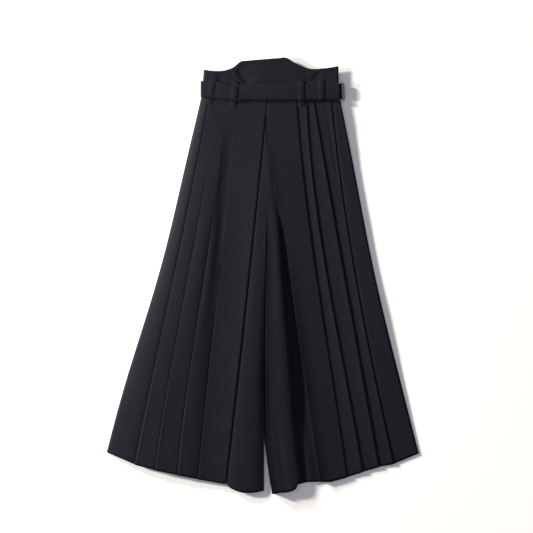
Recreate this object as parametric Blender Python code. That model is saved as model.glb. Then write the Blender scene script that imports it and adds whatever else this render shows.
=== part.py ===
"""Wide pleated trousers lying flat with the front up.

The cloth lies in layers on the plane z = 0, with the waist towards +Y and the wearer's left towards +X.
Lengths here are millimetres: "across" runs outward from the centre line of a leg's front, "down" runs from
the waist's left corner towards the hems, and "height" is above the surface.
"""

from collections import namedtuple
from math import cos, pi, sin

import bmesh
import bpy
import numpy as np

MM = 0.001

# Reach of the whole garment from the centre line and from the corner of the waist.
REACH_RIGHT = 381.5
REACH_LEFT = 364.5
REACH_UP = 28.8
REACH_DOWN = 1016.0
CENTRE_X = (REACH_LEFT - REACH_RIGHT) / 2
CENTRE_DOWN = (REACH_DOWN - REACH_UP) / 2

# Cloth: one leg's wall, the pitch of its folded layers, and the gap that parts two pieces.
WALL = 1.1
LAYER = 1.5
SEAM_GAP = 0.3
WAIST_WALL = 1.8
BELT_WALL = 1.8
LOOP_WALL = 1.1
BACK_LEG_WALL = 3.0

# Seams: the front waist meets the front legs under the belt, the back ones meet below it.
FRONT_SEAM_DOWN = 52.8
BACK_SEAM_DOWN = 73.3
CROTCH_DOWN = 307.0
PLEAT_OPENS_DOWN = 100.0

# A fold runs from the front seam to the hem, straight but for a bow, a skew and a wave.
# Columns: across at the seam, across at the hem, down at the hem, bow, skew, wave.
Fold = namedtuple("Fold", "seam hem down bow skew wave")
RIGHT_FOLDS = {
    "box": Fold(-4, 98, 993, -1.5, 0, 0),
    "knives": (
        Fold(74, 163, 982, -4, -5, 0),
        Fold(98, 212, 972, -5, -14, 0),
        Fold(113, 266, 960, -1, -10, 0),
        Fold(132, 314, 947, -3, -4, 0),
    ),
    "side": Fold(152.5, 382, 916, -8.8, -6, 2.6),
}
LEFT_FOLDS = {
    "box": Fold(-4, 132, 988, 1, -4, 0),
    "knives": (
        Fold(71, 193, 978, -9, -8, 0),
        Fold(97, 232, 965, -16, -12, 0),
        Fold(110, 271, 953, -1, 0, 0),
        Fold(155, 306, 946, -16, -3, 0),
    ),
    "side": Fold(174, 366.9, 919, -9.2, 3, 1.4),
}

# The roll of the inner leg. Columns: share of its width, share of its height, down at the hem.
Roll = namedtuple("Roll", "share height down")
RIGHT_ROLL = (
    Roll(0.00, 0.00, 1010),
    Roll(0.12, 0.62, 1012),
    Roll(0.30, 0.95, 1014),
    Roll(0.50, 1.00, 1014),
    Roll(0.70, 0.72, 1010),
    Roll(0.84, 0.30, 1003),
    Roll(0.93, 0.00, 994),
)
LEFT_ROLL = (
    Roll(0.00, 0.00, 1016),
    Roll(0.12, 0.62, 1016),
    Roll(0.30, 0.95, 1015),
    Roll(0.50, 1.00, 1014),
    Roll(0.70, 0.72, 1011),
    Roll(0.88, 0.25, 1004),
    Roll(1.00, 0.00, 992),
)
ROLL_HEIGHT = 3.4

# The inseam leans to the wearer's right below the crotch, and the left leg swings clear near its hem.
INSEAM_LEAN = 4.8
LEGS_PART_DOWN = 880.0
RIGHT_LEG_SWING = 0.0
LEFT_LEG_SWING = 18.0

# Pleats: how far each fold tucks under, as a share of the panel or strip it ends.
BOX_TUCK = 0.42
PANEL_TUCK = 0.30
STRIP_TUCK = 0.42
HEM_STEP = 1.0
TURN_CLEARANCE = 1.5
TURN_POINTS = 4
# The left half of the inverted pleat lies open: a valley, then the pressed crease as a low ridge.
VALLEY_SHARE_SEAM = 0.82
VALLEY_SHARE_HEM = 0.66
RIDGE_RISE = 0.5
RIDGE_DIP = 0.6
RIDGE_FOOT = 6.0
RIDGE_RUN = 22.0
# Side edges turn down to the back panels.
SIDE_CURL_RUN = 5.0

# Rows of a leg, as shares of the way from seam to hem.
LEG_ROWS = np.array((0, 0.025, 0.06, 0.12, 0.2, 0.28, 0.36, 0.45, 0.54, 0.63, 0.72, 0.81, 0.89, 0.95, 1.0))

# Heights of the stack at the waist.
BACK_WAIST_BOTTOM = BELT_WALL + SEAM_GAP
BACK_WAIST_TOP = BACK_WAIST_BOTTOM + WAIST_WALL
LEG_BASE = BACK_LEG_WALL + 0.35 + WALL / 2
LEG_BASE_AT_WAIST = BACK_WAIST_TOP + SEAM_GAP + WALL / 2
LEG_TOP_AT_WAIST = LEG_BASE_AT_WAIST + 2 * LAYER + WALL / 2
BELT_FRONT_MIDDLE = LEG_TOP_AT_WAIST + SEAM_GAP + BELT_WALL / 2
BELT_BACK_MIDDLE = BELT_WALL / 2
FRONT_WAIST_MIDDLE = LEG_TOP_AT_WAIST - SEAM_GAP - WAIST_WALL / 2
RING_UNDERSIDE = BELT_FRONT_MIDDLE - BELT_WALL / 2

# Top edge of the front waist. Columns: across towards the wearer's left, down.
WAIST_TOP = (
    (-149, 0), (-122, 3.6), (-92, 0), (-77, -6.5), (-62, -18.7), (-43, -21.6), (-5, -25.0),
    (30, -27.6), (47, -28.8), (64, -19.5), (84, -8.5), (105, -2.2), (140, -3.2), (173.4, -8.4),
)
WAIST_COLUMNS = 33
WAIST_ROWS = 5
WAIST_SIDE_RUN = 7.0
BACK_WAIST_TOP_DOWN = 6.0
BACK_INSET = 7.5
BACK_HEM_RISE = 6.0

# Belt. Columns: across towards the wearer's left, down at its upper edge, down at its lower edge.
BELT_EDGES = (
    (-158, 36.5, 66.5), (-120, 34.8, 68.5), (-60, 34.0, 71.0), (0, 33.6, 72.0), (156, 34.0, 71.2), (165, 34.9, 70.2),
)
BELT_WRAP_ACROSS = 157.3

# Loops over the belt. Columns: across and down at the upper end, across and down at the lower end.
Loop = namedtuple("Loop", "top_across top_down foot_across foot_down")
LOOPS = (
    Loop(-127, 24, -136, 82),
    Loop(-73, 29, -79, 89),
    Loop(84, 28, 84, 88),
    Loop(133, 24, 133, 80),
)
LOOP_WIDTH = 14.5

# Ring: outer size along and across the belt, and the section of its bar.
RING_INNER_ACROSS = 169.5
RING_OUTER_ACROSS = 188.5
RING_LENGTH = 41.0
RING_MIDDLE_DOWN = 52.6
RING_BAR_WIDTH = 7.5
RING_BAR_SIDE = 2.4
RING_BAR_HEIGHT = 2.2
RING_TILT_DROP = 1.2

CLOTH_COLOUR = (0.020, 0.021, 0.030)
METAL_COLOUR = (0.10, 0.10, 0.11)


def smooth(value):
    """An easing from 0 to 1 for a value from 0 to 1."""
    value = np.clip(value, 0.0, 1.0)
    return value * value * (3.0 - 2.0 * value)


def place(across, down, height):
    """A point in metres, from millimetres across towards the wearer's left, down and up."""
    return ((across - CENTRE_X) * MM, (CENTRE_DOWN - down) * MM, height * MM)


def material(name, colour, roughness, metallic=0.0):
    made = bpy.data.materials.new(name)
    made.use_nodes = True
    shader = made.node_tree.nodes["Principled BSDF"]
    shader.inputs["Base Color"].default_value = (*colour, 1.0)
    shader.inputs["Roughness"].default_value = roughness
    shader.inputs["Metallic"].default_value = metallic
    return made


def finish(name, mesh_maker, finish_of):
    """Turns a filled bmesh into a named object with its own material and outward faces."""
    bmesh.ops.recalc_face_normals(mesh_maker, faces=mesh_maker.faces)
    mesh = bpy.data.meshes.new(name)
    mesh_maker.to_mesh(mesh)
    mesh_maker.free()
    made = bpy.data.objects.new(name, mesh)
    bpy.context.scene.collection.objects.link(made)
    mesh.materials.append(finish_of(name))
    return made


def cloth(name):
    return material(name + "_suiting", CLOTH_COLOUR, 0.85)


def gunmetal(name):
    return material(name + "_gunmetal", METAL_COLOUR, 0.3, 1.0)


def wall_object(name, upper, lower):
    """A closed wall between two grids of points of the same size, given as [row][column]."""
    maker = bmesh.new()
    rows, columns = len(upper), len(upper[0])
    top = [[maker.verts.new(place(*point)) for point in row] for row in upper]
    bottom = [[maker.verts.new(place(*point)) for point in row] for row in lower]
    for i in range(rows - 1):
        for j in range(columns - 1):
            maker.faces.new((top[i][j], top[i][j + 1], top[i + 1][j + 1], top[i + 1][j]))
            maker.faces.new((bottom[i][j], bottom[i + 1][j], bottom[i + 1][j + 1], bottom[i][j + 1]))
    for j in range(columns - 1):
        for i in (0, rows - 1):
            maker.faces.new((top[i][j], top[i][j + 1], bottom[i][j + 1], bottom[i][j]))
    for i in range(rows - 1):
        for j in (0, columns - 1):
            maker.faces.new((top[i][j], top[i + 1][j], bottom[i + 1][j], bottom[i][j]))
    return finish(name, maker, cloth)


def offset_walls(across, height, thickness, plumb_start=False):
    """Both faces of a wall whose middle runs through the points of each row, as (across, height) pairs.

    With plumb_start, the wall's first edge stands upright, as where it meets its neighbour at a seam.
    """
    step = np.stack((np.diff(across, axis=1), np.diff(height, axis=1)), axis=-1)
    step /= np.linalg.norm(step, axis=-1, keepdims=True)
    before = np.concatenate((step[:, :1], step), axis=1)
    after = np.concatenate((step, step[:, -1:]), axis=1)
    along = before + after
    along /= np.linalg.norm(along, axis=-1, keepdims=True)
    mitre = np.clip((along * after).sum(-1), 0.5, 1.0)
    reach = thickness / 2 / mitre
    aside = np.stack((-along[..., 1], along[..., 0]), axis=-1) * reach[..., None]
    if plumb_start:
        aside[:, 0] = (0.0, thickness / 2)
    return (across + aside[..., 0], height + aside[..., 1]), (across - aside[..., 0], height - aside[..., 1])


def fold_across(fold):
    """Distance of a fold from the centre line at each row of the leg."""
    bulge = 4 * LEG_ROWS * (1 - LEG_ROWS)
    straight = fold.seam + (fold.hem - fold.seam) * LEG_ROWS
    curve = fold.bow * bulge + fold.skew * bulge * (1 - 2 * LEG_ROWS)
    return straight + curve + fold.wave * np.sin(3 * np.pi * LEG_ROWS)


def row_down(hem_down):
    """How far down each row lies, on a line of cloth that ends at this hem."""
    return FRONT_SEAM_DOWN + (hem_down - FRONT_SEAM_DOWN) * LEG_ROWS


def inseam_across(side, hem_down):
    """The inner edge of a leg, outward from the centre line; side is -1 for the right leg and 1 for the left."""
    down = row_down(hem_down)
    lean = INSEAM_LEAN * smooth((down - 400) / 200)
    swing = LEFT_LEG_SWING if side > 0 else RIGHT_LEG_SWING
    return -side * lean + swing * smooth((down - LEGS_PART_DOWN) / (hem_down - LEGS_PART_DOWN)) + SEAM_GAP / 2


class Section:
    """The middle of a front leg's wall, gathered as columns that each run from the seam to the hem."""

    def __init__(self):
        self.across, self.down, self.height = [], [], []

    def add(self, across, hem_down, height):
        self.across.append(np.broadcast_to(across, LEG_ROWS.shape).astype(float))
        self.down.append(row_down(hem_down))
        self.height.append(np.broadcast_to(height, LEG_ROWS.shape).astype(float))

    def turn(self, fold, way, start, end, hem_down):
        """A rounded fold between two layers; way is 1 for a fold that points outward."""
        radius = abs(end - start) / 2
        middle = (start + end) / 2
        for angle in np.linspace(0, pi, TURN_POINTS):
            self.add(fold + way * radius * (sin(angle) - 1), hem_down, middle + (start - middle) * cos(angle))

    def grids(self, side):
        across = np.stack(self.across, axis=1)
        down = np.stack(self.down, axis=1)
        lift = (LEG_BASE_AT_WAIST - LEG_BASE) * (1 - smooth((down - 78) / 60))
        height = np.stack(self.height, axis=1) + LEG_BASE + lift
        faces = []
        for wide, high in offset_walls(across, height, WALL, plumb_start=True):
            faces.append([list(zip(side * w, d, h)) for w, d, h in zip(wide, down, high)])
        return faces


def knife_pleats(section, folds, panel_start):
    """Four knife pleats and the side, from the outer end of the centre panel."""
    lines = [fold_across(fold) for fold in folds["knives"]]
    hems = [fold.down for fold in folds["knives"]]
    side_line = fold_across(folds["side"])
    inner = [panel_start] + lines[:-1]
    tucks = [PANEL_TUCK] + [STRIP_TUCK] * 3
    hidden = [line - tuck * (line - start) for line, tuck, start in zip(lines, tucks, inner)]
    for k, line in enumerate(lines):
        section.turn(line, 1, 2 * LAYER, LAYER, hems[k])
        section.turn(hidden[k], -1, LAYER, 0.0, hems[k] - HEM_STEP)
        section.add(line + TURN_CLEARANCE, hems[k] - HEM_STEP, 0.0)
        if k < len(lines) - 1:
            share = 1 - STRIP_TUCK
            hem = hems[k] - HEM_STEP + (hems[k + 1] - hems[k] + HEM_STEP) * share
            section.add(hidden[k + 1] - TURN_CLEARANCE, hem, 2 * LAYER)
    down = row_down(folds["side"].down)
    curl = (LEG_BASE - WALL / 2 - SEAM_GAP) * smooth((down - 85) / 60)
    section.add(side_line - SIDE_CURL_RUN, folds["side"].down + 2, 0.0)
    section.add(side_line - SIDE_CURL_RUN * 0.3, folds["side"].down + 1, -0.35 * curl)
    section.add(side_line, folds["side"].down, -curl)


def roll_height(hem_down):
    return ROLL_HEIGHT * smooth((row_down(hem_down) - 150) / 250)


def add_roll(section, rolls, start, width):
    """The rounded inner leg; its inner edge is flush above the crotch and dips to the seam below it."""
    for roll in rolls:
        crest = roll_height(roll.down)
        dip = smooth((row_down(roll.down) - CROTCH_DOWN) / 60)
        level = 1 - dip * (1 - roll.height) if roll.share < 0.5 else roll.height
        section.add(start + width * roll.share, roll.down, crest * level)


def right_front_leg():
    folds, side = RIGHT_FOLDS, -1
    section = Section()
    start = inseam_across(side, RIGHT_ROLL[0].down)
    box = np.maximum(fold_across(folds["box"]), SEAM_GAP / 2 + WALL / 2 + 0.05)
    first = fold_across(folds["knives"][0])
    add_roll(section, RIGHT_ROLL, start, np.maximum(box - start, 0.6))
    hem = folds["box"].down
    section.turn(box + BOX_TUCK * (first - box), 1, 0.0, LAYER, hem - 2 * HEM_STEP)
    section.turn(box, -1, LAYER, 2 * LAYER, hem)
    section.add(box + 0.5 * (first - box), (hem + folds["knives"][0].down) / 2, 2 * LAYER)
    knife_pleats(section, folds, box)
    return wall_object("right_front_leg", *section.grids(side))


def left_front_leg():
    folds, side = LEFT_FOLDS, 1
    section = Section()
    start = inseam_across(side, LEFT_ROLL[0].down)
    ridge = np.maximum(fold_across(folds["box"]), 4.0)
    valley = start + (ridge - start) * (VALLEY_SHARE_SEAM + (VALLEY_SHARE_HEM - VALLEY_SHARE_SEAM) * LEG_ROWS)
    add_roll(section, LEFT_ROLL, start, valley - start)
    hem = folds["box"].down
    section.add(valley + 0.6 * (ridge - valley), hem + 2, 1.7)
    section.add(ridge, hem, 2 * LAYER + RIDGE_RISE)
    section.add(ridge + RIDGE_FOOT, hem, 2 * LAYER - RIDGE_DIP)
    section.add(ridge + RIDGE_RUN, hem, 2 * LAYER)
    closed = 1 - smooth((row_down(hem) - PLEAT_OPENS_DOWN) / 150)
    section.height = [height + (2 * LAYER - height) * closed for height in section.height]
    knife_pleats(section, folds, ridge)
    return wall_object("left_front_leg", *section.grids(side))


def back_leg(name, folds, rolls, side):
    """A plain pressed back panel, a little smaller than the front that hides it."""
    lines = [folds["box"], *folds["knives"], folds["side"]]
    hems = [rolls[0].down] + [fold.down for fold in lines]
    inset = np.array([1.0] + [0.0] * (len(lines) - 1) + [BACK_INSET])
    start = inseam_across(side, rolls[0].down)
    wide = [start + 2.0 * smooth((row_down(rolls[0].down) - LEGS_PART_DOWN) / 60)]
    wide += [np.maximum(fold_across(fold), start + 8.0) for fold in lines]
    wide[-1] = wide[-1] - inset[-1]
    across = np.stack(wide, axis=1)
    share = LEG_ROWS[:, None]
    down = BACK_SEAM_DOWN + (np.array(hems) - BACK_HEM_RISE - BACK_SEAM_DOWN) * share
    faces = []
    for height in (BACK_LEG_WALL, 0.0):
        faces.append([[(side * w, d, height) for w, d in zip(row, drops)] for row, drops in zip(across, down)])
    return wall_object(name, *faces)


def waist_panel(name, top_edge, seam_down, middle, curl, inset):
    """A waist panel from its top edge to its seam, whose side edges turn by curl towards the other panel."""
    left = RIGHT_FOLDS["side"].seam - inset
    right = LEFT_FOLDS["side"].seam - inset
    top = np.array(top_edge, float)
    share = np.linspace(0, 1, WAIST_COLUMNS)
    top_across = (top[0, 0] + inset) + (top[-1, 0] - top[0, 0] - 2 * inset) * share
    top_down = np.interp(top_across, top[:, 0], top[:, 1])
    seam_across = -left + (left + right) * share
    rows = np.linspace(0, 1, WAIST_ROWS)[:, None]
    across = top_across + (seam_across - top_across) * rows
    down = top_down + (seam_down - top_down) * rows
    edge = np.minimum(across - across[:, :1], across[:, -1:] - across)
    height = middle - curl * (1 - smooth(edge / WAIST_SIDE_RUN))
    faces = []
    for wide, high in offset_walls(across, height, WAIST_WALL):
        faces.append([list(zip(w, d, h)) for w, d, h in zip(wide, down, high)])
    return wall_object(name, *faces)


def strap(name, path, edges, thickness):
    """A strap along points of (across, height), whose two edges are given as down values at each point."""
    across = np.array([[point[0] for point in path]], float)
    height = np.array([[point[1] for point in path]], float)
    faces = []
    for wide, high in offset_walls(across, height, thickness):
        faces.append([[(w, d, h) for w, h, d in zip(wide[0], high[0], edge)] for edge in edges])
    return wall_object(name, *faces)


def belt():
    """The belt: its front run hooks over the ring's inner bar, and it turns round the right side to its back run."""
    ring_bar = RING_INNER_ACROSS + RING_BAR_SIDE / 2
    over_bar = BELT_FRONT_MIDDLE + RING_BAR_HEIGHT + SEAM_GAP
    under_outer_bar = RING_UNDERSIDE - RING_TILT_DROP - SEAM_GAP - BELT_WALL / 2
    hook = [
        (ring_bar + 5.5, BELT_FRONT_MIDDLE - 0.4),
        (ring_bar + 4.6, BELT_FRONT_MIDDLE + 1.2),
        (ring_bar + 2.8, over_bar),
        (ring_bar - 2.8, over_bar),
        (ring_bar - 10, BELT_FRONT_MIDDLE),
    ]
    front = [(x, BELT_FRONT_MIDDLE) for x in np.linspace(140, -140, 9)]
    half = (BELT_FRONT_MIDDLE - BELT_BACK_MIDDLE) / 2
    middle = (BELT_FRONT_MIDDLE + BELT_BACK_MIDDLE) / 2
    wrap = [
        (-BELT_WRAP_ACROSS + 3.5 * (1 - sin(angle)), middle + half * cos(angle))
        for angle in np.linspace(0, pi, 9)
    ]
    back = [(x, BELT_BACK_MIDDLE) for x in np.linspace(-140, 140, 6)]
    rise = [(175, BELT_BACK_MIDDLE), (179, BELT_BACK_MIDDLE + 1.4), (182.5, under_outer_bar - 1.6), (187, under_outer_bar)]
    path = hook + front + wrap + back + rise
    table = np.array(BELT_EDGES, float)
    places = [point[0] for point in path]
    edges = [np.interp(places, table[:, 0], table[:, k]) for k in (1, 2)]
    return strap("belt", path, edges, BELT_WALL)


def belt_loop(number, loop):
    """A loop sewn down above and below the belt and raised over it."""
    over = BELT_FRONT_MIDDLE + BELT_WALL / 2 + SEAM_GAP + LOOP_WALL / 2
    on_waist = FRONT_WAIST_MIDDLE + WAIST_WALL / 2 + SEAM_GAP + LOOP_WALL / 2
    on_leg = LEG_TOP_AT_WAIST + SEAM_GAP + LOOP_WALL / 2
    table = np.array(BELT_EDGES, float)
    centre = (loop.top_across + loop.foot_across) / 2
    belt_top, belt_foot = (np.interp(centre, table[:, 0], table[:, k]) for k in (1, 2))
    clear = SEAM_GAP + LOOP_WALL
    profile = np.array((
        (loop.top_down, on_waist),
        (belt_top - clear - 0.8, on_waist),
        (belt_top - clear + 0.4, over - 0.3),
        (belt_top + 1.4, over),
        (belt_foot - 1.4, over),
        (belt_foot + clear - 0.4, over - 0.3),
        (belt_foot + clear + 0.8, on_leg),
        (loop.foot_down, on_leg),
    ))
    along, height = profile[None, :, 0], profile[None, :, 1]
    share = (profile[:, 0] - loop.top_down) / (loop.foot_down - loop.top_down)
    lean = loop.top_across + (loop.foot_across - loop.top_across) * share
    faces = []
    for down, high in offset_walls(along, height, LOOP_WALL):
        faces.append([
            [(x + edge, d, h) for x, d, h in zip(lean, down[0], high[0])]
            for edge in (-LOOP_WIDTH / 2, LOOP_WIDTH / 2)
        ])
    return wall_object("belt_loop_%d" % number, *faces)


def belt_ring():
    """A flat rectangular ring: inner bar under the belt's fold, outer bar past the side of the waist."""
    inner_middle = RING_UNDERSIDE + RING_BAR_HEIGHT / 2
    corner = 2.0
    corners = (
        (RING_INNER_ACROSS, RING_MIDDLE_DOWN - RING_LENGTH / 2, 1.0, 1.0),
        (RING_OUTER_ACROSS, RING_MIDDLE_DOWN - RING_LENGTH / 2, -1.0, 1.0),
        (RING_OUTER_ACROSS, RING_MIDDLE_DOWN + RING_LENGTH / 2, -1.0, -1.0),
        (RING_INNER_ACROSS, RING_MIDDLE_DOWN + RING_LENGTH / 2, 1.0, -1.0),
    )
    maker = bmesh.new()
    loops = []
    for x, down, inward_x, inward_down in corners:
        bar = RING_BAR_WIDTH if x == RING_OUTER_ACROSS else RING_BAR_SIDE
        for first in (True, False):
            along_down = first == (inward_x * inward_down > 0)
            outer_x = x if along_down else x + inward_x * corner
            outer_down = down + inward_down * corner if along_down else down
            inner_x = x + inward_x * (bar + (0.0 if along_down else 0.6))
            inner_down = down + inward_down * (RING_BAR_SIDE + (0.6 if along_down else 0.0))
            corner_points = []
            for px, pd in ((outer_x, outer_down), (inner_x, inner_down)):
                tilt = RING_TILT_DROP * (px - RING_INNER_ACROSS) / (RING_OUTER_ACROSS - RING_INNER_ACROSS)
                for up in (0.5, -0.5):
                    corner_points.append((px, pd, inner_middle - tilt + up * RING_BAR_HEIGHT))
            loops.append([maker.verts.new(place(*corner_points[k])) for k in (0, 1, 3, 2)])
    for k, loop in enumerate(loops):
        after = loops[(k + 1) % len(loops)]
        for i in range(4):
            maker.faces.new((loop[i], loop[(i + 1) % 4], after[(i + 1) % 4], after[i]))
    return finish("belt_ring", maker, gunmetal)


def clear_scene():
    for item in list(bpy.data.objects):
        bpy.data.objects.remove(item)


def main():
    clear_scene()
    right_front_leg()
    left_front_leg()
    back_leg("right_back_leg", RIGHT_FOLDS, RIGHT_ROLL, -1)
    back_leg("left_back_leg", LEFT_FOLDS, LEFT_ROLL, 1)
    waist_panel(
        "front_waist", WAIST_TOP, FRONT_SEAM_DOWN - SEAM_GAP, FRONT_WAIST_MIDDLE,
        FRONT_WAIST_MIDDLE - WAIST_WALL / 2 - BACK_WAIST_TOP - SEAM_GAP, 0.0,
    )
    back_top = ((WAIST_TOP[0][0], BACK_WAIST_TOP_DOWN), (WAIST_TOP[-1][0], BACK_WAIST_TOP_DOWN))
    waist_panel(
        "back_waist", back_top, BACK_SEAM_DOWN - SEAM_GAP, BACK_WAIST_BOTTOM + WAIST_WALL / 2, 0.0, 1.0,
    )
    belt()
    for number, loop in enumerate(LOOPS, start=1):
        belt_loop(number, loop)
    belt_ring()


main()
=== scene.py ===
# %% [markdown]
# # Wide pleated trousers, laid flat
# A pair of wide trousers in navy-black suiting lies front up on a pale surface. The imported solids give
# every piece its place; this lesson dresses them as cloth. All lengths are millimetres until a mesh is
# made.

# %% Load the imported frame
from collections import namedtuple
from math import cos, pi, radians, sin

import bmesh
import bpy
import numpy as np
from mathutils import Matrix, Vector


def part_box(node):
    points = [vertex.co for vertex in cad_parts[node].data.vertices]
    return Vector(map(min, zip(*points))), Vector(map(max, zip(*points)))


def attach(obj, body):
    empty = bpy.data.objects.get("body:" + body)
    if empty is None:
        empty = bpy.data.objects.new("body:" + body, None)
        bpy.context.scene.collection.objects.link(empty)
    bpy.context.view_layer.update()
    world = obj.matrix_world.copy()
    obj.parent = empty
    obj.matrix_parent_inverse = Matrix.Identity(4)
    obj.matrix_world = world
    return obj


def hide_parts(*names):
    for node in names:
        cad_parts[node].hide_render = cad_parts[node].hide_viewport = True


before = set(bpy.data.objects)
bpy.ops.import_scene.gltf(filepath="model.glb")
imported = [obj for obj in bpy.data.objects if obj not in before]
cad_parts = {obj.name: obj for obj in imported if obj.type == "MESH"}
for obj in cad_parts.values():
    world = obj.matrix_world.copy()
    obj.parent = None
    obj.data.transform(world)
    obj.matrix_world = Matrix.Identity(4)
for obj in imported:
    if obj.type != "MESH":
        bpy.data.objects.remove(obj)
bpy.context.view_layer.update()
MM = 0.001
print("packed nodes:", sorted(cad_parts))

# %% [markdown]
# The garment is measured from two lines: "across" runs from the front's centre line towards the wearer's
# left, and "down" from the corner of the waist towards the hems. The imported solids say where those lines
# are: the hem corner of the right leg and the top of the raised waist lie at known distances from them.

# %% Where the garment's own lines lie in the frame
REACH_RIGHT = 382.5
REACH_UP = 28.8
CENTRE_X = -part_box("right_front_leg")[0].x / MM - REACH_RIGHT
CENTRE_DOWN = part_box("front_waist")[1].y / MM - REACH_UP
print("centre line at x = %.1f mm, waist corner at y = %.1f mm" % (-CENTRE_X, CENTRE_DOWN))


def place(across, down, height):
    """Frame coordinates in metres of a point given in millimetres."""
    x, y, z = (across - CENTRE_X) * MM, (CENTRE_DOWN - down) * MM, height * MM
    return np.stack(np.broadcast_arrays(x, y, z), axis=-1)


def smooth(value):
    """Eases from 0 to 1 as value goes from 0 to 1."""
    value = np.clip(value, 0.0, 1.0)
    return value * value * (3.0 - 2.0 * value)


def add_object(name, data):
    """A new object in the scene."""
    made = bpy.data.objects.new(name, data)
    bpy.context.scene.collection.objects.link(made)
    return made

# %% [markdown]
# The photograph looks straight down. One picture pixel is 2.4 mm of cloth, so the 533 pixels of the frame
# span 1279 mm, and a long lens from far above keeps the hems as wide as they really are.

# %% Camera
PIXEL = 2.4
PICTURE = 533
CENTRE_LINE_PIXEL = 266.0
WAIST_CORNER_PIXEL = 70.0
LENS = 100.0
SENSOR = 36.0
camera_data = bpy.data.cameras.new("overhead_camera")
camera_data.lens = LENS
camera_data.sensor_width = SENSOR
camera_data.clip_end = 50.0
camera = add_object("overhead_camera", camera_data)
camera.location = place(
    (PICTURE / 2 - CENTRE_LINE_PIXEL) * PIXEL, (PICTURE / 2 - WAIST_CORNER_PIXEL) * PIXEL,
    PICTURE * PIXEL * LENS / SENSOR,
)
bpy.context.scene.camera = camera
print("camera stands %.2f m above the cloth" % camera.location.z)

# %% [markdown]
# Materials are node trees. One helper adds a node with its settings and links, and one turns sRGB hex
# colours into the linear values that the shader wants.

# %% Helpers for node trees
def linear(hex_colour):
    """Linear RGBA of an sRGB hex colour such as #272830."""
    values = [int(hex_colour[k:k + 2], 16) / 255 for k in (1, 3, 5)]
    return [v / 12.92 if v <= 0.04045 else ((v + 0.055) / 1.055) ** 2.4 for v in values] + [1.0]


def add_node(tree, kind, settings=None, **links):
    """Adds a node and sets its properties and inputs: inputs by name, _ for a space, or by i and number."""
    made = tree.nodes.new(kind)
    for key, value in (settings or {}).items():
        setattr(made, key, value)
    for key, value in links.items():
        numbered = key[0] == "i" and key[1:].isdigit()
        socket = made.inputs[int(key[1:]) if numbered else key.replace("_", " ")]
        if isinstance(value, bpy.types.NodeSocket):
            tree.links.new(value, socket)
        else:
            socket.default_value = value
    return made


def new_material(name):
    """A material and its empty tree."""
    made = bpy.data.materials.new(name)
    made.use_nodes = True
    made.node_tree.nodes.clear()
    return made, made.node_tree


def shade(tree, kind="ShaderNodeBsdfPrincipled", **links):
    """Ends a material's tree with its shader."""
    shader = add_node(tree, kind, **links)
    add_node(tree, "ShaderNodeOutputMaterial", Surface=shader.outputs["BSDF"])

# %% [markdown]
# The light comes from a low lamp on the left, a little towards the waist, so every fold that faces right or
# down is dark. The sun lamp gives the even part of it and a nearer area lamp its fall-off towards the hems.
# The world gives the soft fill that keeps the shadows on the white paper a clear grey.

# %% Lamps, world and paper
LAMP_RISE = radians(11.5)
LAMP_TURN = radians(22.0)
LAMP_COLOUR = linear("#fff6ea")[:3]
NEAR_DISTANCE = 1.3
PAPER_HALF = 3.0
TO_LAMP = Vector((-cos(LAMP_TURN) * cos(LAMP_RISE), sin(LAMP_TURN) * cos(LAMP_RISE), sin(LAMP_RISE)))
scene = bpy.context.scene
scene.view_settings.view_transform = "Standard"
sun_data = bpy.data.lights.new("key_sun", "SUN")
sun_data.energy = 9.6
sun_data.angle = radians(5.0)
sun_data.color = LAMP_COLOUR
sun = add_object("key_sun", sun_data)
sun.rotation_euler = TO_LAMP.to_track_quat("Z", "Y").to_euler()
near_data = bpy.data.lights.new("near_key", "AREA")
near_data.energy = 48.0
near_data.size = 0.12
near_data.color = LAMP_COLOUR
near = add_object("near_key", near_data)
near.location = TO_LAMP * NEAR_DISTANCE
near.rotation_euler = sun.rotation_euler
world = bpy.data.worlds.new("studio_fill")
world.use_nodes = True
background = world.node_tree.nodes["Background"]
background.inputs["Color"].default_value = linear("#f4f6ff")
background.inputs["Strength"].default_value = 0.38
scene.world = world
paper_finish, tree = new_material("white_paper")
shade(tree, "ShaderNodeBsdfDiffuse", Color=linear("#f9f9f9"))
paper_mesh = bpy.data.meshes.new("paper")
corners = [(x * PAPER_HALF, y * PAPER_HALF, 0.0) for x, y in ((-1, -1), (1, -1), (1, 1), (-1, 1))]
paper_mesh.from_pydata(corners, [], [(0, 1, 2, 3)])
paper_mesh.materials.append(paper_finish)
paper = add_object("paper", paper_mesh)
print("lamp stands at", [round(v, 2) for v in near.location])

# %% [markdown]
# Worsted wool suiting is a fine twill of smooth combed yarns, dyed a nearly black navy. It looks matt, and
# its yarns show only as a slight grain. The real twill is about 0.5 mm from rib to rib, too fine for this
# picture, so it is drawn at 1.1 mm. The cloth's own map, in metres, carries it round every fold.

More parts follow.
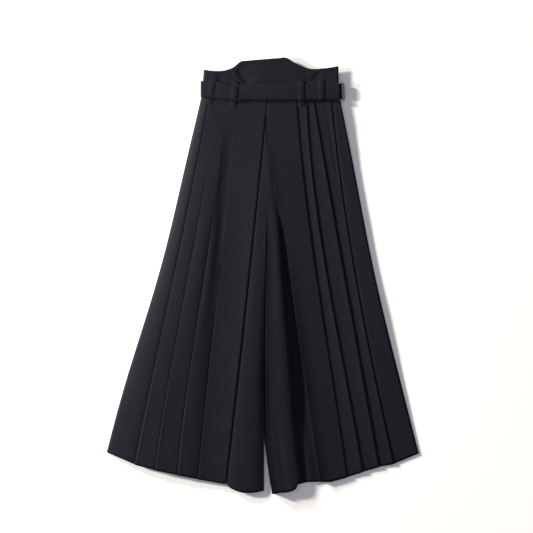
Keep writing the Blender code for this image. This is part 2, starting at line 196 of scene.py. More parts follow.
# %% Suiting
TWILL_PITCH = 1.1 * MM
TWILL_LEAN = radians(63)
BAND_PERIOD = 0.3142  # of a wave texture at scale 1
MOTTLE_SIZE = 7.0 * MM
suiting, tree = new_material("navy_worsted_suiting")
cloth_map = add_node(tree, "ShaderNodeUVMap", {"uv_map": "UVMap"})
diagonal = add_node(tree, "ShaderNodeMapping", Vector=cloth_map.outputs["UV"], Rotation=(0, 0, TWILL_LEAN))
twill = add_node(
    tree, "ShaderNodeTexWave", {"wave_type": "BANDS", "bands_direction": "X"},
    Vector=diagonal.outputs["Vector"], Scale=BAND_PERIOD / TWILL_PITCH,
    Distortion=1.2, Detail=1.0, Detail_Scale=2.0,
)
slub = add_node(
    tree, "ShaderNodeTexNoise", Vector=cloth_map.outputs["UV"], Scale=1 / MOTTLE_SIZE,
    Detail=5.0, Roughness=0.65,
)
tone = add_node(
    tree, "ShaderNodeMix", {"data_type": "RGBA"}, Factor=slub.outputs["Fac"],
    i6=linear("#12141c"), i7=linear("#181a24"),
)
thread_light = add_node(
    tree, "ShaderNodeMix", {"data_type": "RGBA", "blend_type": "MULTIPLY"},
    Factor=0.25, i6=tone.outputs[2], i7=twill.outputs["Color"],
)
grain = add_node(tree, "ShaderNodeBump", Strength=0.35, Distance=0.15 * MM, Height=twill.outputs["Fac"])
shade(
    tree, Base_Color=thread_light.outputs[2], Normal=grain.outputs["Normal"], Roughness=0.82,
    Specular_IOR_Level=0.1,
)

# %% [markdown]
# The ring is a zinc casting plated in dark gunmetal and left satin: a grey metal, a little rough, with fine
# polishing lines round the bar.

# %% Gunmetal
gunmetal, tree = new_material("satin_gunmetal_plate")
metal_place = add_node(tree, "ShaderNodeTexCoord")
polish = add_node(
    tree, "ShaderNodeTexNoise", Vector=metal_place.outputs["Object"], Scale=1 / (0.6 * MM), Detail=2.0
)
satin = add_node(tree, "ShaderNodeMapRange", Value=polish.outputs["Fac"], To_Min=0.24, To_Max=0.36)
shade(tree, Base_Color=linear("#85868b"), Metallic=1.0, Roughness=satin.outputs["Result"])

# %% [markdown]
# Polyester sewing thread in the cloth's colour, a shade lighter and glossier than the wool.

# %% Thread
thread, tree = new_material("navy_polyester_thread")
shade(tree, Base_Color=linear("#14161e"), Roughness=0.6)

# %% [markdown]
# Cloth pieces are grids of points: columns run from the waist to the hem and rows run across. The grid is
# the middle of the cloth, and the wall is made by moving it half a thickness along its normals, both ways.
# Its map is the length of cloth along each row and column, in metres, so that the weave never stretches.

# %% A cloth wall from a grid
def grid_normals(points):
    """Unit normals of a grid of points, up where the grid lies flat with its columns running down."""
    down_rows = np.gradient(points, axis=0)
    along_columns = np.gradient(points, axis=1)
    normals = np.cross(down_rows, along_columns)
    return normals / np.maximum(np.linalg.norm(normals, axis=-1, keepdims=True), 1e-12)


def lengths(points, axis):
    """Length of cloth from the grid's edge, along one of its axes."""
    steps = np.linalg.norm(np.diff(points, axis=axis), axis=-1)
    zero = np.zeros_like(np.take(steps, [0], axis=axis))
    return np.cumsum(np.concatenate((zero, steps), axis=axis), axis=axis)


def cloth_wall(name, points, thickness, mirrored=False):
    """A closed wall of cloth about a grid of points in metres; mirrored where its columns run to the left."""
    rows, columns = points.shape[:2]
    normals = grid_normals(points) * (-1.0 if mirrored else 1.0)
    half = normals * (thickness * MM / 2)
    vertices = np.concatenate(((points + half).reshape(-1, 3), (points - half).reshape(-1, 3)))
    number = np.arange(rows * columns).reshape(rows, columns)
    corner = [number[:-1, :-1], number[1:, :-1], number[1:, 1:], number[:-1, 1:]]
    top = np.stack(corner, axis=-1).reshape(-1, 4)
    bottom = top[:, ::-1] + rows * columns
    rim = np.concatenate((number[0, :], number[1:, -1], number[-1, -2::-1], number[-2:0:-1, 0]))
    rim_next = np.roll(rim, -1)
    side = np.stack((rim, rim_next, rim_next + rows * columns, rim + rows * columns), axis=-1)
    faces = np.concatenate((top, bottom, side))
    mesh = bpy.data.meshes.new(name)
    mesh.from_pydata(vertices.tolist(), [], faces.tolist())
    mesh.update()
    along = lengths(points, 1) - lengths(points, 1)[:, [columns // 2]]
    map_points = np.stack((along, lengths(points, 0)), axis=-1).reshape(-1, 2)
    map_points = np.concatenate((map_points, map_points))
    layer = mesh.uv_layers.new(name="UVMap")
    loop_points = np.empty(len(mesh.loops), dtype=np.int32)
    mesh.loops.foreach_get("vertex_index", loop_points)
    layer.data.foreach_set("uv", map_points[loop_points].astype(np.float32).ravel())
    return mesh

# %% [markdown]
# Cloth laid by hand never lies quite flat. A small node tree lays each piece: a slow swell and a finer
# ripple, both read from the place on the surface alone, so that layers on one another rise and sink
# together and never cut through. Near the paper both fade out. The same tree gives the piece its material.

# %% The tree that lays cloth
def new_tree(name, sizes):
    """A geometry tree with a geometry in and out, a material, and named float inputs with their defaults."""
    made = bpy.data.node_groups.new(name, "GeometryNodeTree")
    made.interface.new_socket("Geometry", in_out="INPUT", socket_type="NodeSocketGeometry")
    made.interface.new_socket("Geometry", in_out="OUTPUT", socket_type="NodeSocketGeometry")
    made.interface.new_socket("Material", in_out="INPUT", socket_type="NodeSocketMaterial")
    for key, value in sizes.items():
        made.interface.new_socket(key, in_out="INPUT", socket_type="NodeSocketFloat").default_value = value
    given = made.nodes.new("NodeGroupInput").outputs
    return made, given, made.nodes.new("NodeGroupOutput").inputs["Geometry"]


def end_tree(tree, geometry, given, out):
    """Ends a tree with real geometry in its material."""
    real = add_node(tree, "GeometryNodeRealizeInstances", Geometry=geometry)
    dressed = add_node(
        tree, "GeometryNodeSetMaterial", Geometry=real.outputs["Geometry"], Material=given["Material"]
    )
    tree.links.new(dressed.outputs["Geometry"], out)


laying, given, laid = new_tree(
    "laid_cloth", {"Swell": 0.9, "Swell size": 150.0, "Ripple": 0.35, "Ripple size": 42.0}
)
where = add_node(laying, "GeometryNodeInputPosition").outputs["Position"]
parts = add_node(laying, "ShaderNodeSeparateXYZ", Vector=where)
flat_place = add_node(laying, "ShaderNodeCombineXYZ", X=parts.outputs["X"], Y=parts.outputs["Y"])


def combine(how, first, second):
    """A math node of the laying tree."""
    return add_node(laying, "ShaderNodeMath", {"operation": how}, i0=first, i1=second).outputs[0]


heave = None
for height_name, size_name, seed in (("Swell", "Swell size", 3.1), ("Ripple", "Ripple size", 11.7)):
    bumps = add_node(
        laying, "ShaderNodeTexNoise", {"noise_dimensions": "4D"}, Vector=flat_place.outputs["Vector"],
        W=seed, Scale=combine("DIVIDE", 1000.0, given[size_name]), Detail=1.0,
    )
    tall = combine("MULTIPLY", combine("SUBTRACT", bumps.outputs[0], 0.5), given[height_name])
    heave = tall if heave is None else combine("ADD", heave, tall)
# Noise lies within half a unit of its middle, so 2 mm makes it as high as the input says.
clear_of_paper = add_node(
    laying, "ShaderNodeMapRange", {"interpolation_type": "SMOOTHSTEP"}, Value=parts.outputs["Z"],
    From_Min=1.0 * MM, From_Max=6.0 * MM, To_Min=0.0, To_Max=2.0 * MM,
)
lifted = combine("MULTIPLY", heave, clear_of_paper.outputs[0])
offset = add_node(laying, "ShaderNodeCombineXYZ", Z=lifted)
moved = add_node(
    laying, "GeometryNodeSetPosition", Geometry=given["Geometry"], Offset=offset.outputs["Vector"]
)
end_tree(laying, moved.outputs["Geometry"], given, laid)


def through_tree(name, data, tree, finish, **sizes):
    """The plain mesh object that a tree makes of some geometry."""
    source = add_object(name + "_source", data)
    modifier = source.modifiers.new("shape", "NODES")
    modifier.node_group = tree
    inputs = {s.name: s.identifier for s in tree.interface.items_tree if s.in_out == "INPUT"}
    for key, value in {"Material": finish, **sizes}.items():
        modifier[inputs[key]] = value
    graph = bpy.context.evaluated_depsgraph_get()
    mesh = bpy.data.meshes.new_from_object(
        source.evaluated_get(graph), preserve_all_data_layers=True, depsgraph=graph
    )
    source.modifiers.clear()
    bpy.data.objects.remove(source)
    mesh.name = name
    made = add_object(name, mesh)
    mesh.shade_smooth()
    print(name, "has", sum(len(p.vertices) - 2 for p in mesh.polygons), "triangles")
    return made

# %% [markdown]
# Every fold of a leg is one line of a table: where it leaves the seam under the belt, where it meets the
# hem, and how it bows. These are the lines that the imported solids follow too. Heights are the cloth's own:
# the middle of a leg is thick with folded cloth and air, and its sides are thin.

# %% Fold lines and heights
SEAM_DOWN = 52.8
CROTCH_DOWN = 307.0
BACK_SEAM_DOWN = 73.3
WALL = 0.42
# Height of a front leg's lowest layer where the belt presses it level, down to where, and its fade below.
FLUSH = {"right": 6.0, "left": 5.2}
LEVEL_DOWN = 92.0
LEVEL_RUN = 230.0
# Columns: across at seam and hem, down at the hem, bow, its lean, wave, base height mid-leg and at the hem.
Fold = namedtuple("Fold", "seam hem down bow skew wave middle foot")
RIGHT_FOLDS = (
    Fold(-4, 98, 993, -1.5, 0, 0, 6.3, 5.6),
    Fold(74, 163, 982, -4, -5, 0, 5.1, 5.6),
    Fold(98, 212, 972, -5, -14, 0, 7.7, 7.0),
    Fold(113, 266, 960, -1, -10, 0, 7.8, 7.1),
    Fold(132, 314, 947, -3, -4, 0, 6.8, 5.7),
    Fold(152.5, 382, 916, -8.8, -6, 2.6, 1.4, 0.8),
)
LEFT_FOLDS = (
    Fold(-4, 129, 988, -1, 1.8, 0, 4.8, 4.8),
    Fold(71, 193, 978, -9, -8, 0, 3.8, 4.0),
    Fold(97, 232, 965, -16, -12, 0, 3.6, 3.4),
    Fold(110, 271, 953, -1, 0, 0, 3.5, 2.8),
    Fold(155, 306, 946, -16, -3, 0, 3.4, 2.1),
    Fold(174, 366.9, 919, -9.2, 3, 1.4, 3.0, 1.0),
)
# How far the right roll's inner edge lies above its fold, and the left roll and the ridge above the panel.
FLUSH_INNER = 0.7
SOFT_STEP = 1.7
RIDGE_TALL = 2.6
# The inner leg stands up as a roll. Columns: share of its width, height, down at the hem.
Roll = namedtuple("Roll", "share height down")
RIGHT_ROLL = (
    Roll(0.00, 3.9, 1010), Roll(0.07, 5.0, 1010), Roll(0.18, 6.35, 1013), Roll(0.32, 7.05, 1014),
    Roll(0.43, 7.25, 1014), Roll(0.60, 7.3, 1013), Roll(0.75, 7.1, 1008), Roll(0.86, 6.75, 1003),
    Roll(0.93, 6.2, 996), Roll(0.97, 5.5, 992), Roll(1.00, 4.6, 989),
)
LEFT_ROLL = (
    Roll(0.00, 11.5, 1016), Roll(0.07, 11.2, 1016), Roll(0.14, 10.95, 1016), Roll(0.27, 10.8, 1013),
    Roll(0.42, 10.85, 1013), Roll(0.57, 11.0, 1010.5), Roll(0.64, 11.0, 1009), Roll(0.70, 10.9, 1007),
    Roll(0.77, 10.6, 1003), Roll(0.82, 10.3, 992), Roll(0.90, 9.2, 990.5), Roll(0.94, 8.0, 990),
    Roll(0.97, 5.8, 989.5), Roll(1.00, 1.6, 988.8),
)
# The inseam is tucked in under the roll. CORNER keeps columns close beside a sharp edge.
SEAM_HEIGHT = 1.2
SEAM_TUCK = 2.6
CORNER = 0.12
# The line between the legs leans to the right leg. The left leg keeps a gap from it and swings off below.
INSEAM_LEAN = 4.8
LEGS_GAP = 3.2
LEFT_LEG_SWING = 16.0
SWING_DOWN = 895.0
SWING_BEND = 1.25
LEGS_PART_DOWN = 872.0
# The right strips lie flush under the belt and part lower down. Columns: where that begins, over what length.
SOFT_EDGES = ((480, 240), (140, 300), (110, 280))
# The left leg's valley. Columns: share of the way to the ridge, how far past it under the crest, share of the
# climb to the crest, and what the rising flank at the hem adds.
VALLEY = (
    (0.2, 0.0, -0.08, 0.6), (0.45, 0.0, -0.1, 0.63), (0.7, 0.0, -0.08, 0.46), (0.9, 0.0, -0.05, 0.28),
    (1.0, 4.0, 0.0, 0.24), (1.0, 5.0, 0.1, 0.22), (1.0, 4.4, 0.3, 0.18), (1.0, 1.0, 0.8, 0.0),
    (1.0, 0.25, 0.9, 0.0), (1.0, 0.02, 0.97, 0.0),
)
# Columns: how far outward of the crest, share of its height left there.
RIDGE_FALL = (
    (0.0, 1.0), (CORNER, 0.99), (1.2, 0.93), (6.0, 0.66), (11.0, 0.42), (18.0, 0.17), (27.0, 0.0),
)
# Where the valley lies between inner edge and ridge, and how the edge stands up below the knee.
VALLEY_SHARE_SEAM = 0.82
VALLEY_SHARE_HEM = 0.66
EDGE_LIFT = 1.0
EDGE_REACH = 6.0
# Share of a strip that runs back under its fold, and how much shorter the cloth is there.
TUCK = 0.10
HEM_STEP = 1.0
ROWS = 141
SHARE = np.linspace(0.0, 1.0, ROWS)


def fold_across(fold):
    """Distance of a fold from the centre line, row by row."""
    bulge = 4 * SHARE * (1 - SHARE)
    straight = fold.seam + (fold.hem - fold.seam) * SHARE
    return straight + bulge * (fold.bow + fold.skew * (1 - 2 * SHARE)) + fold.wave * np.sin(3 * pi * SHARE)


Crease = namedtuple("Crease", "from_across from_down to_across to_down depth width")
EASY_SIDE = 4.0  # how much wider a crease is on its slow side
# A soft fold runs down the left hip beside the fourth pleat, and a crease down the roll's last part.
LEG_CREASES = {
    "right": (),
    "left": (
        Crease(141, 78, 171, 262, 0.5, 2.6), Crease(171, 262, 186, 330, 0.3, 2.6),
        Crease(22, 840, 45, 1012, 0.4, 2.4),
    ),
}


def crease_depth(across, down, creases):
    """How far the cloth sinks at each place, from the creases near it."""
    total = np.zeros(np.broadcast(across, down).shape)
    for crease in creases:
        run = np.array((crease.to_across - crease.from_across, crease.to_down - crease.from_down))
        long = np.hypot(*run)
        run = run / long
        to_x, to_y = across - crease.from_across, down - crease.from_down
        along = (to_x * run[0] + to_y * run[1]) / long
        aside = (to_x * run[1] - to_y * run[0]) / crease.width
        fade = smooth((along + 0.15) / 0.5) * smooth((1.15 - along) / 0.35)
        total += crease.depth * fade * np.exp(-np.where(aside < 0, aside, aside / EASY_SIDE) ** 2)
    return total


def row_down(hem):
    """How far down each row lies on a line of cloth that ends at this hem."""
    return SEAM_DOWN + (hem - SEAM_DOWN) * SHARE


def past(start, length):
    """Eases from 0 to 1 down the rows, from one share of their length over another."""
    return smooth((SHARE - start) / length)


def past_down(start, length, hem=1000.0):
    """The same in millimetres, on a line of cloth that ends at this hem."""
    return smooth((row_down(hem) - start) / length)


def inseam_across(side, hem):
    """The inner edge of a leg, outward from the centre line; side is -1 for the right leg, 1 for the left."""
    swing = 0.0
    if side > 0:
        below = np.clip((row_down(hem) - SWING_DOWN) / (hem - SWING_DOWN), 0, 1)
        swing = LEFT_LEG_SWING * below ** SWING_BEND
    return swing - side * INSEAM_LEAN * past_down(400, 200, hem) + 0.15


# Spacing of the pressed layers, row by row.
LAYERS = {
    "right": 0.06 + 0.54 * past(0.04, 0.32),
    "left": 0.08 + 0.34 * past(0.012, 0.035) + 0.10 * smooth(SHARE / 0.35),
}


def through(knots, at):
    """A smooth curve through (place, value) knots, read at some places."""
    x, y = np.array(knots, float).T
    slope = np.gradient(y, x)
    k = np.clip(np.searchsorted(x, at, side="right") - 1, 0, len(x) - 2)
    span = x[k + 1] - x[k]
    u = (at - x[k]) / span
    return (
        (2 * u**3 - 3 * u**2 + 1) * y[k] + (u**3 - 2 * u**2 + u) * span * slope[k]
        + (3 * u**2 - 2 * u**3) * y[k + 1] + (u**3 - u**2) * span * slope[k + 1]
    )

# %% [markdown]
# A leg's section is walked outward from the inseam and gathered column by column. A run goes on to a new
# place along a rising curve, and a turn folds the cloth back on itself in a small half circle. The heights
# of a section are above a base that each leg's table gives, except on the roll, which stands on the paper.

# %% The section of a leg
TURN_STEPS = 7


class Section:
    """Columns of a leg's middle surface, gathered from the inseam outward."""

    def __init__(self, folds, flush):
        self.folds, self.flush = folds, flush
        self.across, self.hem, self.height, self.based = [], [], [], []

    def add(self, across, hem, height, based=1.0):
        for column, value in ((self.across, across), (self.height, height), (self.based, based)):
            column.append(np.broadcast_to(np.asarray(value, float), SHARE.shape))
        self.hem.append(float(hem))

    def run(self, across, hem, height, steps, rise=None, sag=0.0, sway=0.0, lipped=0.0):
        """Columns on to a new place: rise is a curve of (share, share of the climb), sag a dip on the way,
        sway a dip and then a crown, and lipped how far it ends in a lip."""
        start = self.across[-1], self.hem[-1], self.height[-1], self.based[-1]
        for share in np.linspace(0, 1, steps + 1)[1:]:
            climb = share if rise is None else float(through(rise, share))
            climb = climb + lipped * (float(through(LIPPED, share)) - climb)
            dip = sag * 4 * share * (1 - share) + sway * sin(2 * pi * share)
            self.add(
                start[0] + (across - start[0]) * share, start[1] + (hem - start[1]) * share,
                start[2] + (height - start[2]) * climb - dip, start[3] + (1.0 - start[3]) * share,
            )

    def turn(self, fold, way, low, high, hem):
        """A fold between two layers; way is 1 where it points outward."""
        radius = np.abs(high - low) / 2
        for angle in np.linspace(0, pi, TURN_STEPS):
            self.add(
                fold + way * radius * (sin(angle) - 1), hem, (low + high) / 2 + (low - high) / 2 * cos(angle)
            )

    def base(self, across, down):
        """Height of the lowest layer: level under the belt, then what the leg's folds say at each place."""
        lines = np.stack([fold_across(fold) for fold in self.folds], axis=1)
        middle = np.array([fold.middle for fold in self.folds])
        foot = np.array([fold.foot for fold in self.folds])
        towards_hem = past(0.62, 0.38)[:, None]
        high = middle + (foot - middle) * towards_hem
        level = np.stack([np.interp(across[i], lines[i], high[i]) for i in range(ROWS)])
        return self.flush + (level - self.flush) * smooth((down - LEVEL_DOWN) / LEVEL_RUN)

    def points(self, side):
        """The section's grid of points, creased where the cloth is clear of the paper."""
        across = np.stack(self.across, axis=1)
        down = SEAM_DOWN + (np.array(self.hem)[None] - SEAM_DOWN) * SHARE[:, None]
        height = np.stack(self.height, axis=1) + np.stack(self.based, axis=1) * self.base(across, down)
        creased = crease_depth(across, down, LEG_CREASES["left" if side > 0 else "right"])
        return place(side * across, down, height - creased * smooth((height - 1.5) / 2.0))


def add_roll(section, rolls, start, width, closed, open_share, steps):
    """The inner leg: closed flat at the top, level to its crest above the crotch and a roll below it."""
    heights = [(roll.share, roll.height) for roll in rolls]
    hems = np.array([(roll.share, roll.down) for roll in rolls])
    crest = max(rolls, key=lambda roll: roll.height)
    for share in np.linspace(0, 1, steps):
        own = through(heights, share)
        hem = np.interp(share, hems[:, 0], hems[:, 1])
        parted = past_down(CROTCH_DOWN + 90, 400, hem)
        neighbour = 0.5 * (closed(0.0) + crest.height)
        level = neighbour + (crest.height - neighbour) * min(share / crest.share, 1.0)
        level = level + (own - level) * parted if share < crest.share else own
        height = closed(share) + (level - closed(share)) * open_share
        if share == 0.0:
            fallen = past_down(CROTCH_DOWN, 40, hem)
            section.add(start + SEAM_TUCK * fallen, hem, height + (SEAM_HEIGHT - height) * fallen, 0.0)
            section.add(start + 0.02, hem, height - 0.02, 0.0)
            section.add(start, hem, height, 0.0)
        section.add(start + width * share + CORNER * (share == 0.0), hem, height, 0.0)

# %% [markdown]
# Outward of the flat centre panel four knife pleats lie like tiles, each over the next, pressed sharp.
# Under each edge the cloth runs back, turns, and comes out again as the next strip. The strips differ in
# the two legs: one of the right leg crowns before its edge and ends in a small lip near the hem, and one of
# the left leg climbs to its edge.

# %% Knife pleats and side
# Columns: share of the way over a strip, share of its climb.
CROWNED = ((0.0, 0.0), (0.06, 0.3), (0.2, 0.66), (0.42, 1.0), (0.68, 1.16), (0.88, 1.12), (1.0, 1.0))
LIPPED = (
    (0.0, 0.0), (0.06, 0.25), (0.2, 0.45), (0.42, 0.58), (0.68, 0.72), (0.85, 0.85), (0.95, 1.2), (1.0, 1.06),
)
SAGGING = ((0.0, 0.0), (0.18, -0.18), (0.45, 0.02), (0.75, 0.5), (0.92, 0.92), (1.0, 1.1))
# Columns: share of the way over the side, share of its height.
ROUND_SIDE = ((0.2, 1.0), (0.4, 0.93), (0.58, 0.81), (0.74, 0.65), (0.87, 0.45), (0.96, 0.24), (1.0, 0.1))
STEEP_SIDE = ((0.3, 1.0), (0.6, 1.01), (0.85, 1.02), (0.95, 0.97), (0.98, 0.8), (1.0, 0.3))
SIDE_CROWN = 0.55  # how far the round side stands above the last strip
CROWN_RUN = 7.0  # over what width it leaves its fold
SIDE_LOW = 0.4  # height of the side's turned edge
STRIP_STEPS = 18
COMES_OUT = 0.3  # of the fold above
STARTS_OUT = 0.6  # the next strip, less its tuck where it lies flush
FLUSH_TUCK = 1.8


def row_base(section, line, hem):
    """The section's base along one line of cloth."""
    return section.base(np.stack([line] * 2, axis=1), np.stack([row_down(hem)] * 2, axis=1))[:, 0]


def knife_pleats(section, layer, panel_start, panel_sag, strips, flush, rise, side_shape):
    """Centre panel, strips and side; strips holds the sag, sway and lip of each strip."""
    folds = section.folds
    lines = [fold_across(fold) for fold in folds]
    lines[0] = panel_start
    hems = [fold.down for fold in folds]
    section.run(lines[1] - layer / 2, hems[1], 2 * layer, STRIP_STEPS, sag=panel_sag)
    for k in (1, 2, 3, 4):
        width = lines[k] - lines[k - 1]
        hidden = lines[k] - TUCK * width
        short = hems[k] - HEM_STEP
        section.turn(lines[k], 1, 2 * layer, layer, hems[k])
        section.run(hidden, short, layer, 4)
        section.turn(hidden, -1, layer, 0.0, short)
        section.run(lines[k] + COMES_OUT, short, 0.0, 4)
        if k < 4:
            sealed = smooth((flush[k - 1] - 0.6) / 0.4)
            section.add(lines[k] + STARTS_OUT - FLUSH_TUCK * sealed, short, 2 * layer * flush[k - 1])
            section.run(lines[k + 1] - layer / 2, hems[k + 1], 2 * layer, STRIP_STEPS, rise, *strips[k - 1])
    last = lines[4] + COMES_OUT
    side_line, side_hem = lines[5], hems[5]
    floor, base = row_base(section, last, hems[4]), row_base(section, side_line, side_hem)
    if side_shape is ROUND_SIDE:
        tall = floor + SIDE_CROWN * smooth(SHARE / 0.06)
    else:
        tall = base + 2 * layer
    for share in np.linspace(0, 1, 20)[1:]:
        near_fold = 1 - smooth(share * (side_line - last) / CROWN_RUN)
        level = SIDE_LOW + (tall - SIDE_LOW) * through(((0.0, 1.0),) + side_shape, share)
        section.add(
            last + (side_line - last) * share, short + (side_hem + 1 - short) * share,
            level + (floor - level) * near_fold, 0.0,
        )
    section.add(side_line - 0.5, side_hem + 1, SIDE_LOW + 0.05, 0.0)
    section.add(side_line - 5.0, side_hem + 1, SIDE_LOW, 0.0)


def right_front_leg():
    """Points of the right front leg, from the inseam to the side."""
    section, layer = Section(RIGHT_FOLDS, FLUSH["right"]), LAYERS["right"]
    start = inseam_across(-1, RIGHT_ROLL[0].down)
    box = np.maximum(fold_across(RIGHT_FOLDS[0]), -1.2)
    first = fold_across(RIGHT_FOLDS[1])
    opening = past_down(200, 240)
    hem = RIGHT_FOLDS[0].down
    under = row_base(section, box, hem)

    def closed(share):
        return under + FLUSH_INNER * past_down(100, 80, hem) * (1 - share)

    add_roll(section, RIGHT_ROLL, start, np.maximum(box - start, 0.6), closed, opening, 26)
    tuck = box + TUCK * (first - box)
    step = np.maximum(layer, 0.06 + 0.44 * past_down(LEVEL_DOWN, 30, hem))
    section.run(tuck - step / 2, hem - 2 * HEM_STEP, 0.0, 6)
    section.turn(tuck, 1, 0.0, step, hem - 2 * HEM_STEP)
    section.run(box, hem, step, 6)
    section.turn(box, -1, step, 2 * step, hem)
    flush = [1.08 - 0.8 * past_down(begins, run, 970) for begins, run in SOFT_EDGES]
    panel_sag = 0.9 * past(0.1, 0.3)
    first_sag = 0.7 * past(0.08, 0.12) - 1.3 * past(0.3, 0.2)
    first_sway = 0.5 * past(0.27, 0.1) * (1 - past(0.45, 0.25))
    second_sag = -0.5 * past(0.28, 0.08) * (1 - past(0.5, 0.2))
    lip = past(0.7, 0.2)
    strips = ((first_sag, first_sway, lip), (second_sag, 0.0, lip), (0.0, 0.0, lip))
    knife_pleats(section, layer, box, panel_sag, strips, flush, CROWNED, ROUND_SIDE)
    return section.points(-1)


def left_front_leg():
    """Points of the left front leg, from the inseam to the side."""
    section, layer = Section(LEFT_FOLDS, FLUSH["left"]), LAYERS["left"]
    start = inseam_across(1, LEFT_ROLL[0].down)
    start = start + LEGS_GAP * past_down(CROTCH_DOWN, 120, LEFT_ROLL[0].down)
    ridge = np.maximum(fold_across(LEFT_FOLDS[0]), 4.0)
    valley = start + (ridge - start) * (VALLEY_SHARE_SEAM + (VALLEY_SHARE_HEM - VALLEY_SHARE_SEAM) * SHARE)
    opening = past_down(290, 180)
    hem = LEFT_FOLDS[0].down
    panel = row_base(section, ridge, hem) + 2 * layer
    step = SOFT_STEP * past_down(120, 160)
    tall = RIDGE_TALL * past_down(330, 420)

    def closed(share):
        return panel + step * (1 - 0.5 * smooth((share - 0.45) / 0.55))

    add_roll(section, LEFT_ROLL, start, valley - start, closed, opening, 34)
    lift = EDGE_LIFT * past_down(600, 200)
    for k, across in enumerate(section.across[1:], start=1):
        section.height[k] = section.height[k] + lift * np.exp(-np.maximum(across - start, 0) / EDGE_REACH)
    low = section.height[-1]
    for share, reach, climb, flank in VALLEY:
        shut = panel + step * (0.5 - 0.3 * smooth(min(share, 0.97)))
        own = low + (panel + tall - low) * (climb + flank * past(0.72, 0.28))
        across = valley + share * (ridge - valley) + reach * opening
        section.add(across, hem, shut + (own - shut) * opening, 0.0)
    for reach, stand in RIDGE_FALL:
        rest = 0.2 * step * (1 - smooth(reach / 10)) * (1 - opening)
        section.add(ridge + reach, hem, 2 * layer + stand * tall + rest)
    strips = ((0.0, 0.0, 0.0),) * 3
    knife_pleats(section, layer, ridge, 0.0, strips, (0.0, 0.0, 0.0), SAGGING, STEEP_SIDE)
    return section.points(1)


pieces = {}


def lay(name, points, thickness, mirrored=False):
    """Adds a sheet of cloth to the pieces, laid by the tree."""
    pieces[name] = through_tree(name, cloth_wall(name, points, thickness, mirrored), laying, suiting)


lay("front_leg_right", right_front_leg(), WALL, mirrored=True)
lay("front_leg_left", left_front_leg(), WALL)
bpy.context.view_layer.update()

# %% [markdown]
# The back of each leg lies face down on the paper. It is the same cloth with three knife pleats of its own,
# pressed flat by the weight above, so its layers are close and its lowest one rests on the surface.

# %% Back legs
BACK_WALL = 0.6
BACK_LAYER = 0.75
BACK_INSET = 7.5
BACK_HEM_RISE = 6.0
BACK_PLEATS = (0.46, 0.66, 0.84)
BACK_TUCK = 0.10
BACK_EDGE = 0.6  # how far the backs reach past the inner edges
BACK_LAP = 0.25  # the left one more, above the parting
BACK_GAP = 2.0
BACK_FALL = (0.018, 0.03)  # shares over which the top layer comes down to the paper


def back_leg(folds, rolls, side):
    """Points of a back leg, from the inseam outward."""
    longest = rolls[0].down
    start = inseam_across(side, longest) - BACK_EDGE + BACK_GAP * past_down(LEGS_PART_DOWN, 60, longest)
    if side > 0:
        start = start - BACK_LAP * (1 - past_down(800, 60, longest))
    outer = fold_across(folds[-1]) - BACK_INSET
    width = outer - start
    hem_shares = [(fold_across(fold)[-1] - start[-1]) / width[-1] for fold in folds[:-1]]
    hem_shares = [0.0, *hem_shares, 1.0]
    hems = [longest] + [fold.down for fold in folds]
    columns = []
    low = BACK_WALL / 2 + 0.05

    def add(share, level, nudge=0.0):
        hem = np.interp(share, hem_shares, hems) - BACK_HEM_RISE
        columns.append((start + width * share + nudge, hem, level))

    before = 0.0
    for pleat in (*BACK_PLEATS, 1.0):
        for share in np.linspace(before, pleat, 15)[:-1]:
            add(share, low, 0.6 if share == before else 0.0)
        if pleat == 1.0:
            break
        for angle in np.linspace(0, pi, TURN_STEPS):
            add(pleat, low + BACK_LAYER * (1 - cos(angle)) / 2, BACK_LAYER / 2 * sin(angle))
        for share in np.linspace(pleat, pleat - BACK_TUCK, 5)[1:-1]:
            add(share, low + BACK_LAYER)
        for angle in np.linspace(0, pi, TURN_STEPS):
            add(pleat - BACK_TUCK, low + BACK_LAYER * (3 - cos(angle)) / 2, -BACK_LAYER / 2 * sin(angle))
        for share in np.linspace(pleat - BACK_TUCK, pleat, 5)[1:]:
            add(share, low + 2 * BACK_LAYER)
        add(pleat + BACK_FALL[0], low + BACK_LAYER)
        before = pleat + BACK_FALL[1]
    add(1.0, low)
    across = np.stack([column[0] for column in columns], axis=1)
    hem = np.array([column[1] for column in columns])
    down = BACK_SEAM_DOWN + (hem[None] - BACK_SEAM_DOWN) * SHARE[:, None]
    return place(side * across, down, np.array([column[2] for column in columns]))


lay("back_leg_right", back_leg(RIGHT_FOLDS, RIGHT_ROLL, -1), BACK_WALL, mirrored=True)
lay("back_leg_left", back_leg(LEFT_FOLDS, LEFT_ROLL, 1), BACK_WALL)

# %% [markdown]
# The waist is a broad facing stiffened with interlining. Its front rises to a flat-topped point in the
# middle, and handling has left soft creases that run down from its top edge. A crease is a line with a
# depth and a width; the cloth drops to it steeply on one side and comes back slowly on the other.

# %% Waist
WAIST_TOP = (
    (-149, 0), (-122, 3.6), (-92, 0), (-77, -6.5), (-62, -18.7), (-43, -21.6), (-5, -25.0),
    (30, -27.6), (47, -28.8), (64, -19.5), (84, -8.5), (105, -2.2), (140, -3.2), (173.4, -8.4),
)
WAIST_MIDDLE = 7.1
WAIST_THICK = 1.3
BACK_WAIST_TOP_DOWN = 6.0
BACK_WAIST_MIDDLE = 3.0
SIDE_RUN = 2.8
WAIST_CREASES = (
    Crease(-70, -3, -45, 36, 1.9, 6.2),
    Crease(-92, 30, -60, 38, 0.9, 5.0),
    Crease(130, 4, 108, 27, 0.9, 3.6),
    Crease(106, 24, 84, 33, 0.7, 4.0),
    Crease(-117, 14, -100, 42, 1.1, 4.5),
    Crease(78, 32, -50, 30.5, 0.9, 3.2),
    Crease(60, -16, 96, 4, 0.4, 6.0),
    Crease(141, 14, 168, 10, 0.4, 5.0),
)


